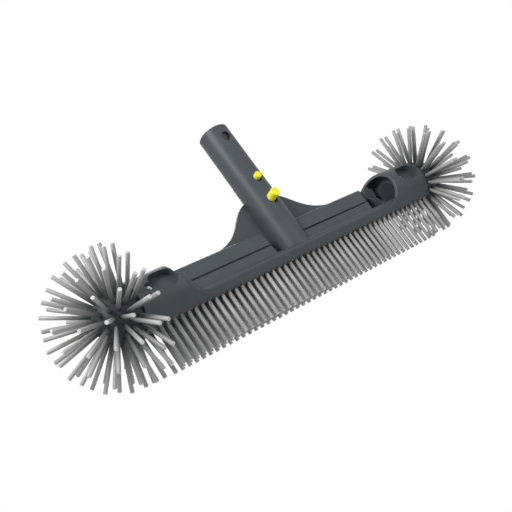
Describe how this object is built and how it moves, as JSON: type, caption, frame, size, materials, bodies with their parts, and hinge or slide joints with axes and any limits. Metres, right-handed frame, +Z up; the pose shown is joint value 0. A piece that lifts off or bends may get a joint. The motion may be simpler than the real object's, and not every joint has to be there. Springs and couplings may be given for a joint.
{
  "type": "pool wall brush",
  "caption": "Wide pool wall brush with straight bristle rows, a round bristle head at each end, and a hollow spigot with a sprung locking pin and release button for a telescopic pole.",
  "frame": {"origin": "centre of the brush's footprint, on the ground plane under the lowest bristle tips", "axes": "+X along the brush towards its right end, -Y to the front with the release button, +Z up the spigot"},
  "size_m": [0.4564, 0.1082, 0.1727],
  "materials": {
    "body": "fine satin moulded surface",
    "bristles": "satin, flexible",
    "lock": "semi-gloss",
    "steel": "plain stainless"
  },
  "bodies": {
    "brush": {"brush_body": "body", "front_bristle_strip": "bristles", "middle_bristle_strip": "bristles", "rear_bristle_strip": "bristles", "left_hub_dome": "body", "left_hub_base": "body", "left_hub_screw": "steel", "left_bristle_ring_1": "bristles", "left_bristle_ring_2": "bristles", "left_bristle_ring_3": "bristles", "left_bristle_ring_4": "bristles", "left_bristle_ring_5": "bristles", "left_bristle_tip": "bristles", "right_hub_dome": "body", "right_hub_base": "body", "right_hub_screw": "steel", "right_bristle_ring_1": "bristles", "right_bristle_ring_2": "bristles", "right_bristle_ring_3": "bristles", "right_bristle_ring_4": "bristles", "right_bristle_ring_5": "bristles", "right_bristle_tip": "bristles", "clip_holder": "lock", "return_spring": "steel"},
    "lock": {"lock_arm": "lock", "locking_pin": "lock", "release_button": "lock"}
  },
  "joints": [
    {"name": "lock_swing", "type": "hinge", "parent": "brush", "child": "lock", "pos_m": [0, -0.00423, 0.14295], "axis": [1, 0, 0], "range_deg": [0, 7.25], "stiffness_Nm_per_rad": 2, "springref_deg": -4.58, "deforming": ["return_spring"]}
  ]
}
